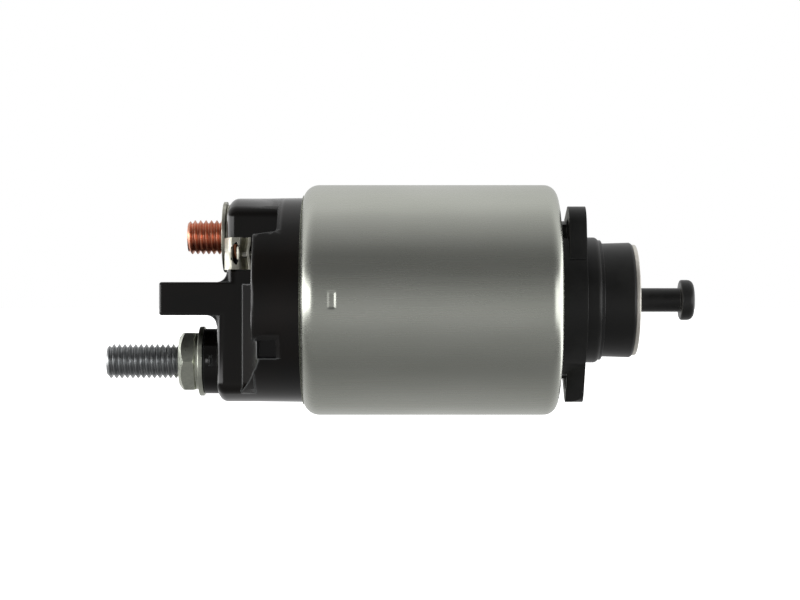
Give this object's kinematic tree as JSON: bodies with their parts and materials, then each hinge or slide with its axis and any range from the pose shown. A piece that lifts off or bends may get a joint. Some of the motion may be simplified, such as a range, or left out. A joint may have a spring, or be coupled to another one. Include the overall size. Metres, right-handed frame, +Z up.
{
  "type": "starter solenoid",
  "caption": "Cylindrical starter solenoid: plated can, black flange with ears, sliding plunger with mushroom pin, and a black terminal cap with threaded studs.",
  "frame": {"origin": "centre of the flange's mounting face, on the plunger's axis", "axes": "+X out of the flange along the hook pin, +Z up with the motor terminal above the battery terminal, -Y is the side with the coil's tab"},
  "size_m": [0.1351, 0.053, 0.053],
  "materials": {
    "plated_can": "satin plated steel with faint drawing lines",
    "black_steel": "semi-matt black coating",
    "black_plunger": "satin black coating",
    "black_pin": "satin black oxide",
    "pale_retainer": "bright pressed steel",
    "brass_liner": "drawn brass",
    "core_iron": "turned iron",
    "bobbin_plastic": "moulded nylon",
    "copper_winding": "enamelled copper wire",
    "wrap_film": "insulating film",
    "rubber_seal": "moulded rubber",
    "black_phenolic": "glossy moulded phenolic",
    "zinc_steel": "zinc plated",
    "nut_plating": "warm grey plated steel",
    "copper": "bright copper",
    "tinned_steel": "tin plated",
    "spring_steel": "drawn spring wire",
    "insulator_fibre": "laminated fibre"
  },
  "bodies": {
    "housing": {"can": "plated_can", "mounting_flange": "black_steel", "guide_sleeve": "brass_liner", "fixed_core": "core_iron", "back_plate": "core_iron", "coil_bobbin": "bobbin_plastic", "pull_in_winding": "copper_winding", "hold_in_winding": "copper_winding", "winding_wrap": "wrap_film", "cap_gasket": "rubber_seal", "terminal_cap": "black_phenolic", "battery_stud": "zinc_steel", "motor_stud": "copper", "battery_stud_seal": "rubber_seal", "motor_stud_seal": "rubber_seal", "flat_washer": "nut_plating", "lock_washer": "nut_plating", "battery_nut": "nut_plating", "motor_lug": "tinned_steel", "coil_tab": "tinned_steel", "coil_lead": "copper_winding", "switch_blade": "tinned_steel", "switch_lead": "copper_winding", "return_spring": "spring_steel", "contact_return_spring": "spring_steel"},
    "plunger": {"plunger": "black_plunger", "plunger_retainer": "pale_retainer", "engagement_spring": "spring_steel"},
    "hook_pin": {"hook_pin": "black_pin"},
    "contacts": {"contact_rod": "core_iron", "contact_disc": "copper", "disc_insulator_outer": "insulator_fibre", "disc_insulator_inner": "insulator_fibre", "rod_clip": "spring_steel", "spring_seat": "zinc_steel", "contact_spring": "spring_steel"}
  },
  "joints": [
    {"name": "plunger_slide", "type": "slide", "parent": "housing", "child": "plunger", "axis": [-1, 0, 0], "range_m": [0, 0.01], "stiffness_N_per_m": 2500, "springref_m": -0.01, "deforming": ["return_spring"]},
    {"name": "pin_slide", "type": "slide", "parent": "plunger", "child": "hook_pin", "axis": [1, 0, 0], "range_m": [0, 0.008], "stiffness_N_per_m": 5000, "springref_m": -0.008, "deforming": ["engagement_spring"]},
    {"name": "contact_slide", "type": "slide", "parent": "housing", "child": "contacts", "axis": [-1, 0, 0], "range_m": [0, 0.003], "stiffness_N_per_m": 1200, "springref_m": -0.004, "deforming": ["contact_return_spring"]}
  ],
  "couplings": [
    {"joint": "contact_slide", "follows": "plunger_slide", "ratio": 0.3}
  ]
}
